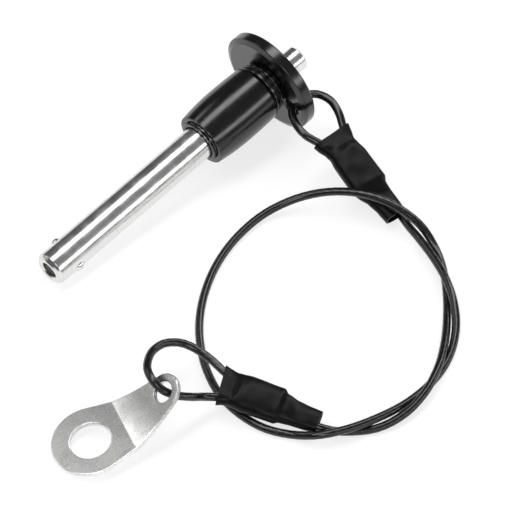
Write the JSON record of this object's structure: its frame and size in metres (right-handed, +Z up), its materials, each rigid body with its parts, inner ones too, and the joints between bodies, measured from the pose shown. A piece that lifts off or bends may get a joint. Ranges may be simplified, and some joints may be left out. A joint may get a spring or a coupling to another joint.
{
  "type": "ball-lock hitch pin with lanyard",
  "caption": "Push-button ball-lock pin with a round flanged handle, on a coated wire lanyard that ends in a bent fixing tab.",
  "frame": {"origin": "bottom centre of the pin's bounding box, on the table it lies on; the lanyard isn't counted", "axes": "+X is the pin's horizontal direction from the tip to the button, +Z up; the pin's axis rises 7.2 degrees towards the button; the lanyard and its tab lie on the -Y side"},
  "size_m": [0.1144, 0.0971, 0.0254],
  "materials": {
    "stainless": "bright turned stainless steel",
    "spring_steel": "plain drawn steel",
    "black_anodised": "black anodised turned aluminium, semi-gloss",
    "crimp": "plain crimped aluminium",
    "cord_coating": "glossy black coating over wire rope",
    "heat_shrink": "matt black heat-shrink tube"
  },
  "bodies": {
    "handle": {"shank": "stainless", "handle_barrel": "black_anodised", "handle_flange": "black_anodised", "front_collar": "black_anodised", "neck_ring": "black_anodised", "spring_seat": "spring_steel", "return_spring": "spring_steel", "lanyard_cord": "cord_coating", "pin_ferrule": "crimp", "tab_ferrule": "crimp", "pin_sleeve": "heat_shrink", "tab_sleeve": "heat_shrink"},
    "plunger": {"spindle": "stainless", "push_button": "stainless", "button_cross_pin": "spring_steel"},
    "ball_lower": {"ball_lower": "stainless"},
    "ball_upper": {"ball_upper": "stainless"},
    "tab": {"tab": "stainless"}
  },
  "joints": [
    {"name": "plunger_push", "type": "slide", "parent": "handle", "child": "plunger", "axis": [-0.9921, 0, -0.1252], "range_m": [0, 0.0035], "stiffness_N_per_m": 1200, "springref_m": -0.003, "deforming": ["return_spring"]},
    {"name": "ball_lower_retract", "type": "slide", "parent": "handle", "child": "ball_lower", "axis": [-0.0324, 0.9659, 0.2568], "range_m": [0, 0.0009]},
    {"name": "ball_upper_retract", "type": "slide", "parent": "handle", "child": "ball_upper", "axis": [0.0324, -0.9659, -0.2568], "range_m": [0, 0.0009]},
    {"name": "tab_swivel", "type": "hinge", "parent": "handle", "child": "tab", "pos_m": [-0.0497, -0.0477, 0.01148], "axis": [-0.3798, 0.7897, 0.4818], "range_deg": [0, 60]}
  ],
  "couplings": [
    {"joint": "ball_lower_retract", "follows": "plunger_push", "ratio": 0.25},
    {"joint": "ball_upper_retract", "follows": "plunger_push", "ratio": 0.25}
  ]
}
